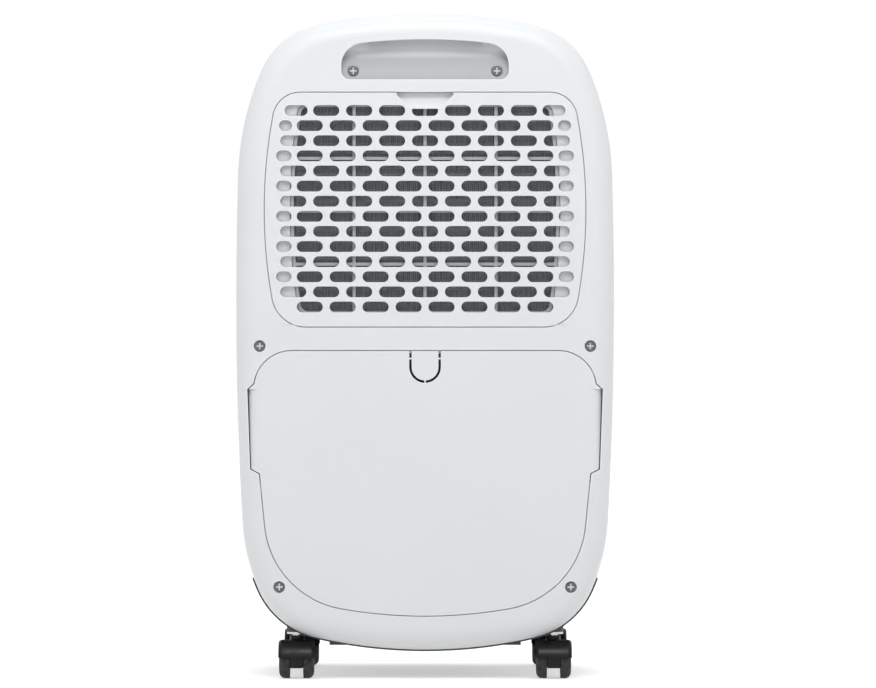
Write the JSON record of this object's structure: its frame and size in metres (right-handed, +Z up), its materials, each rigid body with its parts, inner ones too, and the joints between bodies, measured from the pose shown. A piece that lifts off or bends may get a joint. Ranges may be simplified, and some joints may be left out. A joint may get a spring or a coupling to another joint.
{
  "type": "dehumidifier",
  "caption": "Free-standing white dehumidifier with a slotted rear intake, a pull-out water tank, a recessed hand grip, a top air outlet and swivel castors.",
  "frame": {"origin": "on the floor under the middle of the object", "axes": "+Z up, the air intake and the water tank face -Y, the plain front faces +Y"},
  "size_m": [0.3342, 0.244, 0.59],
  "materials": {
    "white_shell": "satin white moulding",
    "grip_grey": "fine matt grey-white",
    "grille_white": "satin white moulding",
    "filter_white": "matt white",
    "filter_mesh": "fine woven nylon",
    "tank_white": "satin white moulding",
    "tank_smoke": "smoky plastic",
    "float_foam": "closed foam",
    "base_grey": "dark grained plastic",
    "inner_grey": "moulded grey",
    "castor_black": "black nylon",
    "tyre_black": "black tread",
    "steel": "zinc plated",
    "screw_grey": "dark zinc",
    "compressor_black": "satin black",
    "copper": "drawn copper",
    "coil_fins": "mill finish",
    "motor_steel": "grey",
    "fan_black": "moulded black",
    "outlet_grey": "moulded dark grey",
    "control_gloss": "gloss black",
    "button_white": "matt white",
    "lens_clear": "smoked lens",
    "light_lens": "frosted lens",
    "board_green": "solder mask",
    "rubber_black": "moulded rubber",
    "capacitor_can": "drawn can"
  },
  "bodies": {
    "cabinet": {"base_pan": "base_grey", "bay_partition": "inner_grey", "castor_sockets": "steel", "compressor": "compressor_black", "compressor_bolts": "steel", "compressor_grommets": "rubber_black", "condenser": "coil_fins", "control_board": "board_green", "control_panel": "control_gloss", "cord_gland": "rubber_black", "cover_screws": "screw_grey", "discharge_pipe": "copper", "display_lens": "lens_clear", "drip_tray": "inner_grey", "evaporator": "coil_fins", "fan_housing": "inner_grey", "fan_motor": "motor_steel", "float_sensor": "inner_grey", "front_cover": "white_shell", "front_panel": "white_shell", "grip_screws": "screw_grey", "hand_grip": "grip_grey", "outlet_frame": "outlet_grey", "rear_cover": "white_shell", "run_capacitor": "capacitor_can", "status_light": "light_lens", "suction_pipe": "copper"},
    "tank": {"tank_front": "tank_white", "tank_bucket": "tank_smoke", "tank_lid": "tank_smoke"},
    "tank_float": {"tank_float": "float_foam"},
    "intake_panel": {"intake_grille": "grille_white", "filter_frame": "filter_white", "filter_mesh": "filter_mesh"},
    "fan": {"fan_impeller": "fan_black", "fan_shaft": "steel"},
    "vane_1": {"outlet_vane_1": "outlet_grey"},
    "vane_2": {"outlet_vane_2": "outlet_grey"},
    "vane_3": {"outlet_vane_3": "outlet_grey"},
    "button_power": {"button_power": "button_white"},
    "button_speed": {"button_speed": "button_white"},
    "button_humidity": {"button_humidity": "button_white"},
    "button_timer": {"button_timer": "button_white"},
    "castor_rear_left": {"castor_rear_left_hood": "castor_black", "castor_rear_left_stem": "steel", "castor_rear_left_axle": "steel"},
    "wheels_rear_left": {"castor_rear_left_wheels": "tyre_black"},
    "castor_rear_right": {"castor_rear_right_hood": "castor_black", "castor_rear_right_stem": "steel", "castor_rear_right_axle": "steel"},
    "wheels_rear_right": {"castor_rear_right_wheels": "tyre_black"},
    "castor_front_left": {"castor_front_left_hood": "castor_black", "castor_front_left_stem": "steel", "castor_front_left_axle": "steel"},
    "wheels_front_left": {"castor_front_left_wheels": "tyre_black"},
    "castor_front_right": {"castor_front_right_hood": "castor_black", "castor_front_right_stem": "steel", "castor_front_right_axle": "steel"},
    "wheels_front_right": {"castor_front_right_wheels": "tyre_black"}
  },
  "joints": [
    {"name": "tank_pull", "type": "slide", "parent": "cabinet", "child": "tank", "axis": [0, -1, 0], "range_m": [0, 0.12]},
    {"name": "float_swing", "type": "hinge", "parent": "tank", "child": "tank_float", "pos_m": [0.099, -0.036, 0.276], "axis": [-1, 0, 0], "range_deg": [0, 25]},
    {"name": "panel_tilt", "type": "hinge", "parent": "cabinet", "child": "intake_panel", "pos_m": [0, -0.1209, 0.3125], "axis": [1, 0, 0], "range_deg": [0, 35]},
    {"name": "fan_spin", "type": "hinge", "parent": "cabinet", "child": "fan", "pos_m": [0, -0.01, 0.412], "axis": [0, 1, 0], "continuous": true},
    {"name": "vane_1_turn", "type": "hinge", "parent": "cabinet", "child": "vane_1", "pos_m": [0, -0.028, 0.572], "axis": [1, 0, 0], "range_deg": [0, 80]},
    {"name": "vane_2_turn", "type": "hinge", "parent": "cabinet", "child": "vane_2", "pos_m": [0, -0.012, 0.572], "axis": [1, 0, 0], "range_deg": [0, 80]},
    {"name": "vane_3_turn", "type": "hinge", "parent": "cabinet", "child": "vane_3", "pos_m": [0, 0.004, 0.572], "axis": [1, 0, 0], "range_deg": [0, 80]},
    {"name": "power_press", "type": "slide", "parent": "cabinet", "child": "button_power", "axis": [0, 0, -1], "range_m": [0, 0.0012], "stiffness_N_per_m": 500},
    {"name": "speed_press", "type": "slide", "parent": "cabinet", "child": "button_speed", "axis": [0, 0, -1], "range_m": [0, 0.0012], "stiffness_N_per_m": 500},
    {"name": "humidity_press", "type": "slide", "parent": "cabinet", "child": "button_humidity", "axis": [0, 0, -1], "range_m": [0, 0.0012], "stiffness_N_per_m": 500},
    {"name": "timer_press", "type": "slide", "parent": "cabinet", "child": "button_timer", "axis": [0, 0, -1], "range_m": [0, 0.0012], "stiffness_N_per_m": 500},
    {"name": "rear_left_swivel", "type": "hinge", "parent": "cabinet", "child": "castor_rear_left", "pos_m": [-0.1136, -0.088, 0.05], "axis": [0, 0, 1], "continuous": true},
    {"name": "rear_left_roll", "type": "hinge", "parent": "castor_rear_left", "child": "wheels_rear_left", "pos_m": [-0.1136, -0.098, 0.016], "axis": [1, 0, 0], "continuous": true},
    {"name": "rear_right_swivel", "type": "hinge", "parent": "cabinet", "child": "castor_rear_right", "pos_m": [0.1136, -0.088, 0.05], "axis": [0, 0, 1], "continuous": true},
    {"name": "rear_right_roll", "type": "hinge", "parent": "castor_rear_right", "child": "wheels_rear_right", "pos_m": [0.1136, -0.098, 0.016], "axis": [1, 0, 0], "continuous": true},
    {"name": "front_left_swivel", "type": "hinge", "parent": "cabinet", "child": "castor_front_left", "pos_m": [-0.1136, 0.088, 0.05], "axis": [0, 0, 1], "continuous": true},
    {"name": "front_left_roll", "type": "hinge", "parent": "castor_front_left", "child": "wheels_front_left", "pos_m": [-0.1136, 0.078, 0.016], "axis": [1, 0, 0], "continuous": true},
    {"name": "front_right_swivel", "type": "hinge", "parent": "cabinet", "child": "castor_front_right", "pos_m": [0.1136, 0.088, 0.05], "axis": [0, 0, 1], "continuous": true},
    {"name": "front_right_roll", "type": "hinge", "parent": "castor_front_right", "child": "wheels_front_right", "pos_m": [0.1136, 0.078, 0.016], "axis": [1, 0, 0], "continuous": true}
  ],
  "couplings": [
    {"joint": "vane_2_turn", "follows": "vane_1_turn", "ratio": 1},
    {"joint": "vane_3_turn", "follows": "vane_1_turn", "ratio": 1}
  ]
}
